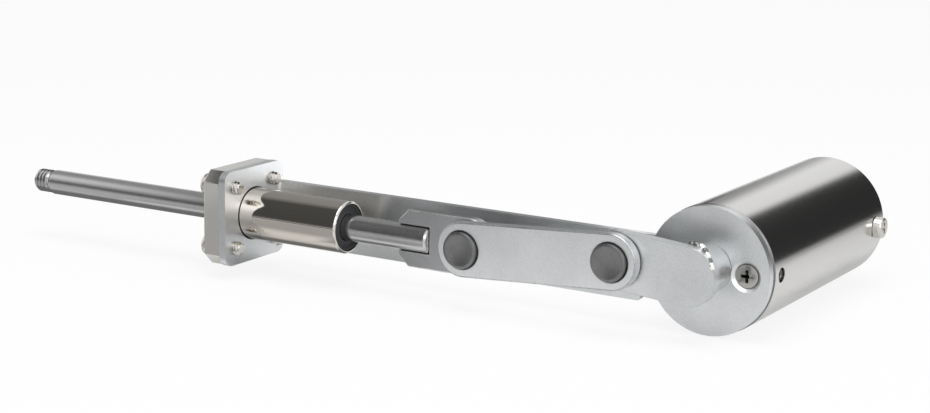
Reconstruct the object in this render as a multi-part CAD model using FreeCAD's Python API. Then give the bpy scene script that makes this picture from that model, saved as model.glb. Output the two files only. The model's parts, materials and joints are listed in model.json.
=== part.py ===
import FreeCAD, Part
import math
import os

# Electric linear actuator. A geared motor turns a crank, and a connecting rod drives a round
# push rod through a flanged ball bush. Lengths are millimetres.
# X runs along the push rod, from its threaded tip (-X) to the motor (+X). Y runs from the crank
# to the rear of the motor, and Z is up. The origin lies on the rod's axis, on the face of the
# bracket's bearing flange that looks at the motor. The rod is nearly at its full reach.

# Fits
FIT = 0.04              # radial room between pieces that are fixed to each other
RUN = 0.05              # radial room of a running fit
PIVOT_GAP = 0.35        # side room between two plates that pivot on each other

# Bracket: one bent sheet with a bearing flange, a strip and a round motor plate
SHEET_T = 1.8
FLANGE_CORNER_R = 2.4
BEND_R = 1.0
BEND_RELIEF = 0.8
STRIP_RISE = 6.1        # top edge of the strip above the rod's axis
STRIP_DROP = 8.7        # bottom edge of the strip below the rod's axis
NOTCH_BEFORE_DISC = 1.8
NOTCH_DEPTH = 2.6
NOTCH_R = 0.7
DISC_STEP = 0.15        # the motor plate is this much smaller in radius than the tube

# Screws: M3, with pan heads, and with sunk heads at the motor
SCREW_D = 3.0
SCREW_HEAD_D = 5.6
SCREW_HEAD_H = 2.0
SCREW_ROOM = 0.2
SCREW_TO_SLEEVE = 2.5   # metal between the bush's sleeve and the flange screws
SCREW_TO_STRIP = 0.63   # between the flange screws and the strip
FLANGE_SCREW_PROUD = 1.6
MOTOR_SCREW_SINK = 0.3  # the motor screws end this far inside the gearbox plate

# Ball bush
BUSH_FLANGE_T = 4.6
BUSH_CORNER = 2.5
SLEEVE_WALL = 0.6
SLEEVE_REACH = 26.8     # from the bracket's face to the sleeve's inner end
SLEEVE_CHAMFER = 0.35
SLEEVE_HOLE_ROOM = 0.25
BALL_ROOM = 2.4         # radial room for the cage between the rod and the sleeve
BALL_D = 1.5
BALL_ROWS = 4
BALL_ROW_END = 3.0      # between a row of balls and the seal
CAGE_ROOM = 0.12
SEAL_T = 1.8
SEAL_SINK = 0.3
SEAL_ROOM = 0.1

# Push rod and its end plate
ROD_D = 6.0
ROD_REACH = 60.6        # bare rod in front of the bush at rest
THREAD_STEP = 0.2       # the thread is this much smaller in radius than the rod
THREAD_LEN = 5.4
THREAD_CHAMFER = 0.6
ROD_PLATE_W = 13.0
ROD_PLATE_T = 2.5
ROD_PLATE_REACH = 18.1  # from the pin to the plate's open end
ROD_PLATE_CHAMFER = 2.6
ROD_SLOT_LEN = 8.0
ROD_PLATE_GAP = 14.0    # from the bush to the plate at rest

# Crank and connecting rod
SHAFT_RISE = 0.9        # the geared motor's shaft above the axis of its tube, which is level with the rod
CRANK_R = 16.4
CRANK_ANGLE = 4.9       # degrees that the crank pin stands above the shaft at rest
ARM_W = 12.6
ARM_T = 2.5
LINK_W = 12.2
LINK_T = 2.5
RETRACT_GAP = 6.9       # between the rod plate and the crank's end at full retraction
PIN_D = 8.2
PIN_PROUD = 1.0
PIN_TAIL_D = 5.5
RIVET_D = 7.0
RIVET_H = 0.8
HUB_SIDE = 3.25         # hub metal around the shaft
HUB_GAP = 0.5           # between the hub and the motor plate
HUB_WALL = 1.8          # hub metal left in front of the shaft's end
HUB_TO_SCREW = 0.45
SHAFT_D = 4.0
SHAFT_FLAT = 0.5

# Motor tube, rear cap and cable inlet
DISC_MARGIN = 2.7       # motor plate outside the screw heads, out to the tube's radius
TUBE_WALL = 1.0
TUBE_HOLE_D = 3.2
TUBE_HOLE_BACK = 4.0
TUBE_SCREW_BEFORE_END = 4.5
CAP_DEPTH = 7.4
CAP_SINK = 0.6
CAP_SCREW_DEPTH = 3.0
CABLE_ROOM = 1.8        # between the motor's terminals and the cap
CABLE_HOLE_D = 6.5
GROMMET_WALL = 1.25
GROMMET_LIP = 0.9

# Gearbox
GEARBOX_ROOM = 0.5      # between the gearbox and the tube
GEAR_PLATE_T = 2.5
HOUSING_WALL = 0.8
BOSS_WALL = 0.7
BOSS_SINK = 0.2
OUTPUT_BUSH_WALL = 0.75
GEAR_W = 3.4
GEAR_GAP = 0.5
GEAR_END_GAP = 0.8
GEAR_WALL_GAP = 0.3
AXLE_D = 1.2
AXLE_ANGLE = 30.0       # degrees by which the first axle stands above the motor's own shaft
REAR_PLATE_T = 2.0
PINION_TEETH = 9
WHEEL_TEETH = 23
GEAR_LAYERS = 3
TOOTH_TIP = 0.8         # tip outside the pitch circle, in modules
TOOTH_ROOT = 1.25       # root inside the pitch circle, in modules
TOOTH_TIP_HALF = 0.32   # half the tooth's width at its tip, in modules
TOOTH_ROOT_HALF = 0.85  # half the tooth's width at its root, in modules

# Motor
CAN_STEP = 0.3          # the can is this much smaller in radius than the gearbox
CAN_WALL = 1.0
ROTOR_ROOM = 4.3        # between the gearbox and the windings
MAGNET_T = 2.0
MAGNET_OVERHANG = 3.5
MAGNET_ANGLE = 130.0
AIR_GAP = 0.4
CORE_LEN = 13.0
CORE_SLOTS = 5
CORE_SLOT_W = 1.6
CORE_SLOT_DEPTH = 4.0
WINDING_T = 3.0
WINDING_STEP = 1.2
MOTOR_SHAFT_D = 1.8
MOTOR_BUSH_D = 5.0
COMMUTATOR_D = 6.0
COMMUTATOR_LEN = 4.0
COMMUTATOR_GAP = 0.5
BRUSH_W = 2.0
BRUSH_H = 2.4
LEAF_T = 0.5
END_CAP_T = 2.5
TERMINAL_W = 2.4
TERMINAL_T = 0.5
TERMINAL_LEN = 5.0

X_AXIS = FreeCAD.Vector(1, 0, 0)
Y_AXIS = FreeCAD.Vector(0, 1, 0)
Z_AXIS = FreeCAD.Vector(0, 0, 1)

# Sizes that follow from the ones above, from the middle outwards
BUSH_BORE_D = ROD_D + 2 * BALL_ROOM
SLEEVE_D = BUSH_BORE_D + 2 * SLEEVE_WALL
THREAD_D = ROD_D - 2 * THREAD_STEP
FLANGE_SCREW_AT = (SLEEVE_D / 2 + SCREW_TO_SLEEVE + SCREW_D / 2) / math.sqrt(2)
FLANGE_W = 2 * (FLANGE_SCREW_AT + SCREW_D / 2 + SCREW_TO_STRIP + SHEET_T)
FLANGE_SCREW_LEN = BUSH_FLANGE_T + SHEET_T + FLANGE_SCREW_PROUD
MOTOR_SCREW_LEN = SHEET_T + GEAR_PLATE_T - MOTOR_SCREW_SINK
HEAD_CONE_H = (SCREW_HEAD_D - SCREW_D) / 2
HEAD_SINK = SHEET_T - HEAD_CONE_H
COUNTERSINK_D = SCREW_HEAD_D + 2 * (HEAD_SINK + FIT)
TUBE_SCREW_LEN = TUBE_WALL + CAP_SCREW_DEPTH
STRIP_H = STRIP_RISE + STRIP_DROP
HUB_D = SHAFT_D + 2 * HUB_SIDE
OUTPUT_BUSH_D = SHAFT_D + 2 * RUN + 2 * OUTPUT_BUSH_WALL
BOSS_D = OUTPUT_BUSH_D + 2 * BOSS_WALL
MOTOR_SCREW_R = HUB_D / 2 + HUB_TO_SCREW + SCREW_HEAD_D / 2
TUBE_D = 2 * (MOTOR_SCREW_R + SCREW_HEAD_D / 2 + DISC_MARGIN)
DISC_D = TUBE_D - 2 * DISC_STEP
TUBE_BORE_D = TUBE_D - 2 * TUBE_WALL
GEARBOX_D = TUBE_BORE_D - 2 * GEARBOX_ROOM
HOUSING_BORE_D = GEARBOX_D - 2 * HOUSING_WALL
GEAR_ROOM_R = HOUSING_BORE_D / 2 - GEAR_WALL_GAP
MODULE = (GEAR_ROOM_R - SHAFT_RISE) / (PINION_TEETH / 2 + WHEEL_TEETH + 1)
AXLE_R = MODULE * (PINION_TEETH + WHEEL_TEETH) / 2
CAN_D = GEARBOX_D - 2 * CAN_STEP
CAN_BORE_D = CAN_D - 2 * CAN_WALL
CORE_D = CAN_BORE_D - 2 * MAGNET_T - 2 * AIR_GAP
MAGNET_LEN = CORE_LEN + 2 * MAGNET_OVERHANG
GROMMET_D = CABLE_HOLE_D + 2 * GROMMET_WALL
GROMMET_BORE = CABLE_HOLE_D - 2 * GROMMET_WALL

# Places along X
BUSH_BACK_X = -SHEET_T
BUSH_FRONT_X = BUSH_BACK_X - BUSH_FLANGE_T
ROD_TIP_X = BUSH_FRONT_X - ROD_REACH
LINK_LEN = CRANK_R + ARM_W / 2 + ROD_PLATE_W / 2 + RETRACT_GAP
CRANK_RISE = SHAFT_RISE + CRANK_R * math.sin(math.radians(CRANK_ANGLE))
ROD_PIN_X = SLEEVE_REACH + ROD_PLATE_GAP + ROD_PLATE_REACH
CRANK_PIN_X = ROD_PIN_X + math.sqrt(LINK_LEN ** 2 - CRANK_RISE ** 2)
SHAFT_X = CRANK_PIN_X + CRANK_R * math.cos(math.radians(CRANK_ANGLE))
SHAFT = (SHAFT_X, SHAFT_RISE)
TUBE_AXIS = (SHAFT_X, 0.0)
ROD_PLATE_X = ROD_PIN_X - ROD_PLATE_REACH
ROD_END_X = ROD_PLATE_X + ROD_SLOT_LEN

# Places along Y
DISC_BACK_Y = FLANGE_W / 2
DISC_FRONT_Y = DISC_BACK_Y - SHEET_T
BEND_Y = DISC_FRONT_Y - BEND_R
ROD_PLATE_FRONT_Y = -ROD_PLATE_T / 2
ARM_FRONT_Y = ROD_PLATE_FRONT_Y
ARM_BACK_Y = ARM_FRONT_Y + ARM_T
LINK_BACK_Y = ROD_PLATE_FRONT_Y - PIVOT_GAP
LINK_FRONT_Y = LINK_BACK_Y - LINK_T
PIN_FRONT_Y = LINK_FRONT_Y - PIN_PROUD
HUB_BACK_Y = DISC_FRONT_Y - HUB_GAP
SHAFT_FRONT_Y = ARM_BACK_Y + HUB_WALL
GEAR_PLATE_BACK_Y = DISC_BACK_Y + GEAR_PLATE_T
BOSS_FRONT_Y = DISC_FRONT_Y + BOSS_SINK
GEARS_FRONT_Y = GEAR_PLATE_BACK_Y + GEAR_END_GAP
GEAR_STEP = GEAR_W + GEAR_GAP
REAR_PLATE_Y = GEARS_FRONT_Y + GEAR_LAYERS * GEAR_STEP - GEAR_GAP + GEAR_END_GAP
CAN_FRONT_Y = REAR_PLATE_Y + REAR_PLATE_T
CORE_Y = CAN_FRONT_Y + ROTOR_ROOM + WINDING_T
CORE_BACK_Y = CORE_Y + CORE_LEN
COMMUTATOR_Y = CORE_BACK_Y + WINDING_T + COMMUTATOR_GAP
COMMUTATOR_BACK_Y = COMMUTATOR_Y + COMMUTATOR_LEN
END_CAP_Y = COMMUTATOR_BACK_Y + COMMUTATOR_GAP
CAN_BACK_Y = END_CAP_Y + END_CAP_T
CAP_FRONT_Y = CAN_BACK_Y + TERMINAL_LEN + CABLE_ROOM
CAP_BACK_Y = CAP_FRONT_Y + CAP_DEPTH
TUBE_BACK_Y = CAP_BACK_Y + CAP_SINK
TUBE_SCREW_Y = TUBE_BACK_Y - TUBE_SCREW_BEFORE_END


def cyl_x(x0, x1, diameter, y=0.0, z=0.0):
    return Part.makeCylinder(diameter / 2, x1 - x0, FreeCAD.Vector(x0, y, z), X_AXIS)


def cyl_y(y0, y1, diameter, x=SHAFT_X, z=0.0):
    return Part.makeCylinder(diameter / 2, y1 - y0, FreeCAD.Vector(x, y0, z), Y_AXIS)


def ring_x(x0, x1, outer, inner):
    return cyl_x(x0, x1, outer).cut(cyl_x(x0, x1, inner))


def ring_y(y0, y1, outer, inner, x=SHAFT_X, z=0.0):
    return cyl_y(y0, y1, outer, x, z).cut(cyl_y(y0, y1, inner, x, z))


def box(x0, x1, y0, y1, z0, z1):
    return Part.makeBox(x1 - x0, y1 - y0, z1 - z0, FreeCAD.Vector(x0, y0, z0))


def line_edges(shape, axis):
    lines = [edge for edge in shape.Edges if isinstance(edge.Curve, Part.Line)]
    return [edge for edge in lines if abs(edge.Curve.Direction.dot(axis)) > 0.999]


def end_edges(shape, axis, place):
    """Edges that lie whole in the plane at this place along an axis."""
    return [edge for edge in shape.Edges
            if all(abs(v.Point.dot(axis) - place) < 1e-6 for v in edge.Vertexes)
            and abs(edge.CenterOfMass.dot(axis) - place) < 1e-6]


def sheet(outline, y0, y1):
    """A flat plate from a closed outline of (x, z) corners, between two places along Y."""
    corners = [FreeCAD.Vector(x, y0, z) for x, z in outline]
    face = Part.Face(Part.makePolygon(corners + corners[:1]))
    return face.extrude(FreeCAD.Vector(0, y1 - y0, 0))


def link_plate(start, end, width, y0, y1):
    """A flat bar with round ends about two (x, z) centres."""
    half = width / 2
    length = math.dist(start, end)
    along = ((end[0] - start[0]) / length, (end[1] - start[1]) / length)

    def point(centre, forward, side):
        x = centre[0] + half * (forward * along[0] - side * along[1])
        z = centre[1] + half * (forward * along[1] + side * along[0])
        return FreeCAD.Vector(x, y0, z)

    top = Part.LineSegment(point(start, 0, 1), point(end, 0, 1))
    end_arc = Part.Arc(point(end, 0, 1), point(end, 1, 0), point(end, 0, -1))
    bottom = Part.LineSegment(point(end, 0, -1), point(start, 0, -1))
    start_arc = Part.Arc(point(start, 0, -1), point(start, -1, 0), point(start, 0, 1))
    wire = Part.Wire([edge.toShape() for edge in (top, end_arc, bottom, start_arc)])
    return Part.Face(wire).extrude(FreeCAD.Vector(0, y1 - y0, 0))


def pan_screw(seat, inward, length):
    """A pan head screw: its head's underside is at seat, and the shank runs along inward."""
    head = Part.makeCylinder(SCREW_HEAD_D / 2, SCREW_HEAD_H)
    shank = Part.makeCylinder(SCREW_D / 2, length, FreeCAD.Vector(0, 0, -length))
    screw = head.fuse(shank)
    screw.Placement = FreeCAD.Placement(seat, FreeCAD.Rotation(Z_AXIS, inward.negative()))
    return screw


def sunk_screw(face, inward, length):
    """A countersunk screw: its cone ends a sheet's thickness below face, and it reaches length below it."""
    cone = Part.makeCone(SCREW_D / 2, SCREW_HEAD_D / 2, HEAD_CONE_H, FreeCAD.Vector(0, 0, -SHEET_T))
    shank = Part.makeCylinder(SCREW_D / 2, length - SHEET_T, FreeCAD.Vector(0, 0, -length))
    screw = cone.fuse(shank)
    screw.Placement = FreeCAD.Placement(face, FreeCAD.Rotation(Z_AXIS, inward.negative()))
    return screw


def flange_screw_places():
    sides = (-FLANGE_SCREW_AT, FLANGE_SCREW_AT)
    return [(y, z) for y in sides for z in sides]


def motor_screw_places():
    x, z = TUBE_AXIS
    return [(x + side * MOTOR_SCREW_R, z) for side in (-1, 1)]


def flange_holes(x0, x1, diameter):
    return [cyl_x(x0, x1, diameter, y, z) for y, z in flange_screw_places()]


def motor_holes(y0, y1, diameter):
    return [cyl_y(y0, y1, diameter, x, z) for x, z in motor_screw_places()]


def motor_countersinks():
    """Cones that open the motor screws' holes towards the front of the motor plate."""
    faces = [FreeCAD.Vector(x, DISC_FRONT_Y, z) for x, z in motor_screw_places()]
    wide = COUNTERSINK_D / 2
    return [Part.makeCone(wide, wide - SHEET_T, SHEET_T, face, Y_AXIS) for face in faces]


def side_holes(y, diameter, depth):
    """Two holes through the tube's sides, along X."""
    outer = TUBE_D / 2
    return [cyl_x(x, x + depth, diameter, y) for x in (SHAFT_X - outer, SHAFT_X + outer - depth)]


# The bracket
def bearing_flange():
    half = FLANGE_W / 2
    plate = box(-SHEET_T, 0, -half, half, -half, half)
    plate = plate.makeFillet(FLANGE_CORNER_R, line_edges(plate, X_AXIS))
    relief = box(-SHEET_T, 0, BEND_Y, half, -STRIP_DROP - BEND_RELIEF, STRIP_RISE + BEND_RELIEF)
    return plate.cut(relief)


def flange_bend():
    base = FreeCAD.Vector(BEND_R, BEND_Y, -STRIP_DROP)
    outer = Part.makeCylinder(BEND_R + SHEET_T, STRIP_H, base)
    inner = Part.makeCylinder(BEND_R, STRIP_H, base)
    quarter = box(-SHEET_T, BEND_R, BEND_Y, DISC_BACK_Y, -STRIP_DROP, STRIP_RISE)
    return outer.cut(inner).common(quarter)


def strip():
    notch_x = SHAFT_X - DISC_D / 2 - NOTCH_BEFORE_DISC
    neck_z = NOTCH_DEPTH - STRIP_DROP
    outline = [
        (BEND_R, STRIP_RISE), (SHAFT_X, STRIP_RISE), (SHAFT_X, neck_z),
        (notch_x, neck_z), (notch_x, -STRIP_DROP), (BEND_R, -STRIP_DROP),
    ]
    plate = sheet(outline, DISC_FRONT_Y, DISC_BACK_Y)
    notch = [edge for edge in line_edges(plate, Y_AXIS) if abs(edge.CenterOfMass.x - notch_x) < 1e-6]
    return plate.makeFillet(NOTCH_R, notch)


def bracket():
    disc = cyl_y(DISC_FRONT_Y, DISC_BACK_Y, DISC_D)
    body = bearing_flange().fuse([flange_bend(), strip(), disc]).removeSplitter()
    holes = [cyl_x(-SHEET_T, 0, SLEEVE_D + 2 * SLEEVE_HOLE_ROOM)]
    holes += flange_holes(-SHEET_T, BEND_R, SCREW_D + 2 * FIT)
    holes.append(cyl_y(DISC_FRONT_Y, DISC_BACK_Y, BOSS_D + 2 * FIT, *SHAFT))
    holes += motor_holes(DISC_FRONT_Y, DISC_BACK_Y, SCREW_D + 2 * SCREW_ROOM)
    holes += motor_countersinks()
    return body.cut(holes)


# The ball bush
def bearing_shell():
    half = FLANGE_W / 2
    flange = box(BUSH_FRONT_X, BUSH_BACK_X, -half, half, -half, half)
    flange = flange.makeChamfer(BUSH_CORNER, line_edges(flange, X_AXIS))
    flange = flange.makeChamfer(SLEEVE_CHAMFER, end_edges(flange, X_AXIS, BUSH_FRONT_X))
    sleeve = cyl_x(BUSH_FRONT_X, SLEEVE_REACH, SLEEVE_D)
    sleeve = sleeve.makeChamfer(SLEEVE_CHAMFER, end_edges(sleeve, X_AXIS, SLEEVE_REACH))
    bores = [cyl_x(BUSH_FRONT_X, SLEEVE_REACH, BUSH_BORE_D)]
    bores += flange_holes(BUSH_FRONT_X, BUSH_BACK_X, SCREW_D + 2 * SCREW_ROOM)
    return flange.fuse(sleeve).cut(bores)


def seal_places():
    """Both ends of the outer seal, then of the inner one."""
    outer = BUSH_FRONT_X + SEAL_SINK
    inner = SLEEVE_REACH - SEAL_SINK
    return (outer, outer + SEAL_T), (inner - SEAL_T, inner)


def bearing_seal(place):
    return ring_x(*place, BUSH_BORE_D - 2 * FIT, ROD_D + 2 * SEAL_ROOM)


def ball_rows(width, inner_r, outer_r, end):
    """One straight bar for each row of balls, this far from the seals."""
    x0 = seal_places()[0][1] + end
    x1 = seal_places()[1][0] - end
    rows = []
    for row in range(BALL_ROWS):
        bar = box(x0, x1, inner_r, outer_r, -width / 2, width / 2)
        bar.rotate(FreeCAD.Vector(), X_AXIS, 360.0 * (row + 0.5) / BALL_ROWS)
        rows.append(bar)
    return rows


def bearing_cage():
    cage = ring_x(seal_places()[0][1], seal_places()[1][0],
                  BUSH_BORE_D - 2 * CAGE_ROOM, ROD_D + 2 * CAGE_ROOM)
    return cage.cut(ball_rows(BALL_D + 2 * CAGE_ROOM, 0, BUSH_BORE_D, BALL_ROW_END - CAGE_ROOM))


def bearing_balls():
    outer_r = BUSH_BORE_D / 2 - 2 * CAGE_ROOM
    return Part.makeCompound(ball_rows(BALL_D, ROD_D / 2 + RUN, outer_r, BALL_ROW_END))


# The screws
def flange_screws():
    seats = [FreeCAD.Vector(BUSH_FRONT_X, y, z) for y, z in flange_screw_places()]
    return Part.makeCompound([pan_screw(seat, X_AXIS, FLANGE_SCREW_LEN) for seat in seats])


def motor_screws():
    faces = [FreeCAD.Vector(x, DISC_FRONT_Y, z) for x, z in motor_screw_places()]
    return Part.makeCompound([sunk_screw(face, Y_AXIS, MOTOR_SCREW_LEN) for face in faces])


def tube_screws():
    screws = []
    for side in (-1, 1):
        seat = FreeCAD.Vector(SHAFT_X + side * TUBE_D / 2, TUBE_SCREW_Y, 0)
        screws.append(pan_screw(seat, X_AXIS * -side, TUBE_SCREW_LEN))
    return Part.makeCompound(screws)


# The push rod and its end plate
def push_rod():
    shank = cyl_x(ROD_TIP_X + THREAD_LEN, ROD_END_X, ROD_D)
    thread = cyl_x(ROD_TIP_X, ROD_TIP_X + THREAD_LEN, THREAD_D)
    thread = thread.makeChamfer(THREAD_CHAMFER, end_edges(thread, X_AXIS, ROD_TIP_X))
    return shank.fuse(thread)


def rod_end_plate():
    half = ROD_PLATE_W / 2
    y0 = ROD_PLATE_FRONT_Y
    y1 = y0 + ROD_PLATE_T
    outline = [
        (ROD_PIN_X, half), (ROD_PLATE_X + ROD_PLATE_CHAMFER, half),
        (ROD_PLATE_X, half - ROD_PLATE_CHAMFER), (ROD_PLATE_X, ROD_PLATE_CHAMFER - half),
        (ROD_PLATE_X + ROD_PLATE_CHAMFER, -half), (ROD_PIN_X, -half),
    ]
    plate = sheet(outline, y0, y1).fuse(cyl_y(y0, y1, ROD_PLATE_W, ROD_PIN_X)).removeSplitter()
    slot_half = ROD_D / 2 + FIT
    slot = box(ROD_PLATE_X, ROD_END_X + FIT, y0, y1, -slot_half, slot_half)
    return plate.cut([slot, cyl_y(y0, y1, PIN_TAIL_D + 2 * FIT, ROD_PIN_X)])


def pin_barrel(x, z, back):
    """The round pin seen on the connecting rod, from its proud front face to a place behind."""
    return cyl_y(PIN_FRONT_Y, back, PIN_D, x, z)


def pin_tail(x, z, front, plate_back):
    """The tail behind a pin, riveted over at the back of its plate."""
    tail = cyl_y(front, plate_back + RIVET_H, PIN_TAIL_D, x, z)
    rivet = cyl_y(plate_back, plate_back + RIVET_H, RIVET_D, x, z)
    return tail.fuse(rivet).removeSplitter()


def rod_end_rivet():
    return pin_tail(ROD_PIN_X, 0, ROD_PLATE_FRONT_Y, ROD_PLATE_FRONT_Y + ROD_PLATE_T)


# The crank and the connecting rod
def connecting_rod():
    ends = ((ROD_PIN_X, 0.0), (CRANK_PIN_X, CRANK_RISE))
    plate = link_plate(*ends, LINK_W, LINK_FRONT_Y, LINK_BACK_Y)
    rod_eye = cyl_y(LINK_FRONT_Y, LINK_BACK_Y, PIN_D + 2 * FIT, *ends[0])
    crank_eye = cyl_y(LINK_FRONT_Y, LINK_BACK_Y, PIN_D + 2 * RUN, *ends[1])
    return plate.cut([rod_eye, crank_eye])


def crank_arm():
    pin = (CRANK_PIN_X, CRANK_RISE)
    plate = link_plate(pin, SHAFT, ARM_W, ARM_FRONT_Y, ARM_BACK_Y)
    return plate.cut(cyl_y(ARM_FRONT_Y, ARM_BACK_Y, PIN_TAIL_D + 2 * FIT, *pin))


def crank_pin():
    barrel = pin_barrel(CRANK_PIN_X, CRANK_RISE, ARM_FRONT_Y)
    tail = pin_tail(CRANK_PIN_X, CRANK_RISE, ARM_FRONT_Y, ARM_BACK_Y)
    return barrel.fuse(tail)


def d_shaft(y0, y1, diameter, flat):
    """A round bar with one flat on its lower side."""
    half = diameter / 2
    low = SHAFT_RISE - half
    bar = cyl_y(y0, y1, diameter, *SHAFT)
    return bar.cut(box(SHAFT_X - half, SHAFT_X + half, y0, y1, low, low + flat))


def crank_hub():
    hub = cyl_y(ARM_BACK_Y, HUB_BACK_Y, HUB_D, *SHAFT)
    return hub.cut(d_shaft(SHAFT_FRONT_Y - FIT, HUB_BACK_Y, SHAFT_D + 2 * FIT, SHAFT_FLAT))


def output_shaft():
    flat = d_shaft(SHAFT_FRONT_Y, HUB_BACK_Y, SHAFT_D, SHAFT_FLAT)
    gears_back = GEARS_FRONT_Y + GEAR_W
    return flat.fuse(cyl_y(HUB_BACK_Y, gears_back, SHAFT_D, *SHAFT))


# The gearbox: two axles beside the shaft carry two gear pairs, and the last wheel is on the shaft
def axle_place(index):
    """The (x, z) place of an axle: 1 carries the pair that the motor drives, 2 the next."""
    angle = math.radians(AXLE_ANGLE)
    first = (TUBE_AXIS[0] + AXLE_R * math.cos(angle), TUBE_AXIS[1] + AXLE_R * math.sin(angle))
    if index == 1:
        return first
    # The second is equally far from the first and from the shaft, as every mesh has the same teeth.
    span = math.dist(SHAFT, first)
    along = ((first[0] - SHAFT[0]) / span, (first[1] - SHAFT[1]) / span)
    aside = math.sqrt(AXLE_R ** 2 - span ** 2 / 4)
    x = SHAFT[0] + along[0] * span / 2 - along[1] * aside
    z = SHAFT[1] + along[1] * span / 2 + along[0] * aside
    return (x, z)


def bearing_angle(start, end):
    return math.atan2(end[1] - start[1], end[0] - start[0])


def mesh_phase(phase, teeth, start, mate_teeth, end):
    """The turn of a mating gear that puts its gaps on this gear's teeth."""
    angle = bearing_angle(start, end)
    tooth_share = (angle - phase) * teeth / (2 * math.pi)
    return angle + math.pi - (0.5 - tooth_share) * 2 * math.pi / mate_teeth


def gear_train():
    """The turn of each gear at rest, worked out from the output wheel to the motor's pinion."""
    first = axle_place(1)
    second = axle_place(2)
    pair_b = mesh_phase(0.0, WHEEL_TEETH, SHAFT, PINION_TEETH, second)
    pair_a = mesh_phase(pair_b, WHEEL_TEETH, second, PINION_TEETH, first)
    motor = mesh_phase(pair_a, WHEEL_TEETH, first, PINION_TEETH, TUBE_AXIS)
    return {"output": 0.0, "pair_b": pair_b, "pair_a": pair_a, "motor": motor}


def gear(teeth, phase, place, y0, y1):
    """A spur gear with straight-sided teeth that leave room to turn in mesh."""
    pitch_r = MODULE * teeth / 2
    root = (pitch_r - TOOTH_ROOT * MODULE, TOOTH_ROOT_HALF)
    tip = (pitch_r + TOOTH_TIP * MODULE, TOOTH_TIP_HALF)
    outline = []
    for tooth in range(teeth):
        middle = phase + 2 * math.pi * tooth / teeth
        left = [(radius, -half * MODULE / radius) for radius, half in (root, tip)]
        right = [(radius, -turn) for radius, turn in reversed(left)]
        for radius, turn in left + right:
            angle = middle + turn
            outline.append((place[0] + radius * math.cos(angle), place[1] + radius * math.sin(angle)))
    return sheet(outline, y0, y1)


def gear_layer(layer):
    """Front and back of a layer of gears. Layer 0 holds the output wheel, layer 2 the motor's pinion."""
    front = GEARS_FRONT_Y + layer * GEAR_STEP
    return front, front + GEAR_W


def gear_pair(name, index, wheel_layer):
    """A wheel and the pinion in front of it, in one piece, that turn on an axle."""
    place = axle_place(index)
    phase = gear_train()[name]
    wheel_y = gear_layer(wheel_layer)
    pinion_y = gear_layer(wheel_layer - 1)
    wheel = gear(WHEEL_TEETH, phase, place, *wheel_y)
    pinion = gear(PINION_TEETH, phase, place, pinion_y[0], wheel_y[0])
    bore = cyl_y(pinion_y[0], wheel_y[1], AXLE_D + 2 * RUN, *place)
    return wheel.fuse(pinion).cut(bore)


def output_gear():
    y0, y1 = gear_layer(0)
    wheel = gear(WHEEL_TEETH, gear_train()["output"], SHAFT, y0, y1)
    return wheel.cut(cyl_y(y0, y1, SHAFT_D + 2 * FIT, *SHAFT))


def motor_pinion():
    y0, y1 = gear_layer(2)
    pinion = gear(PINION_TEETH, gear_train()["motor"], TUBE_AXIS, y0, y1)
    return pinion.cut(cyl_y(y0, y1, MOTOR_SHAFT_D + 2 * FIT))


def gear_axles():
    places = [axle_place(index) for index in (1, 2)]
    return Part.makeCompound([cyl_y(GEAR_PLATE_BACK_Y, REAR_PLATE_Y, AXLE_D, *place) for place in places])


def gearbox_front_plate():
    plate = cyl_y(DISC_BACK_Y, GEAR_PLATE_BACK_Y, GEARBOX_D)
    boss = cyl_y(BOSS_FRONT_Y, DISC_BACK_Y, BOSS_D, *SHAFT)
    holes = [cyl_y(BOSS_FRONT_Y, GEAR_PLATE_BACK_Y, OUTPUT_BUSH_D + 2 * FIT, *SHAFT)]
    holes += motor_holes(DISC_BACK_Y, GEAR_PLATE_BACK_Y, SCREW_D + 2 * FIT)
    return plate.fuse(boss).removeSplitter().cut(holes)


def gearbox_housing():
    return ring_y(GEAR_PLATE_BACK_Y, REAR_PLATE_Y, GEARBOX_D, HOUSING_BORE_D)


def gearbox_rear_plate():
    return ring_y(REAR_PLATE_Y, CAN_FRONT_Y, GEARBOX_D, MOTOR_BUSH_D + 2 * FIT)


def output_bush():
    return ring_y(BOSS_FRONT_Y, GEAR_PLATE_BACK_Y, OUTPUT_BUSH_D, SHAFT_D + 2 * RUN, *SHAFT)


# The motor
def motor_case():
    return ring_y(CAN_FRONT_Y, CAN_BACK_Y, CAN_D, CAN_BORE_D)


def motor_magnets():
    y0 = (CORE_Y + CORE_BACK_Y - MAGNET_LEN) / 2
    ring = ring_y(y0, y0 + MAGNET_LEN, CAN_BORE_D - 2 * FIT, CAN_BORE_D - 2 * MAGNET_T)
    half_gap = CAN_BORE_D / 2 * math.sin(math.radians(90.0 - MAGNET_ANGLE / 2))
    gap = box(SHAFT_X - CAN_BORE_D, SHAFT_X + CAN_BORE_D, y0, y0 + MAGNET_LEN, -half_gap, half_gap)
    return Part.makeCompound(ring.cut(gap).Solids)


def motor_bush(y0, y1):
    return ring_y(y0, y1, MOTOR_BUSH_D, MOTOR_SHAFT_D + 2 * RUN)


def motor_end_cap():
    return ring_y(END_CAP_Y, CAN_BACK_Y, CAN_BORE_D - 2 * FIT, MOTOR_BUSH_D + 2 * FIT)


def motor_brushes():
    """Two carbon blocks beside the commutator, each on a leaf that stands on the end cap."""
    y0 = COMMUTATOR_Y + (COMMUTATOR_LEN - BRUSH_W) / 2
    x0 = SHAFT_X - BRUSH_W / 2
    x1 = SHAFT_X + BRUSH_W / 2
    foot = COMMUTATOR_D / 2 + RUN
    block = box(x0, x1, y0, y0 + BRUSH_W, foot, foot + BRUSH_H)
    leaf = box(x0, x1, y0, END_CAP_Y, foot + BRUSH_H, foot + BRUSH_H + LEAF_T)
    upper = block.fuse(leaf)
    lower = upper.copy()
    lower.rotate(FreeCAD.Vector(SHAFT_X, 0, 0), Y_AXIS, 180)
    return Part.makeCompound([upper, lower])


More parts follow.
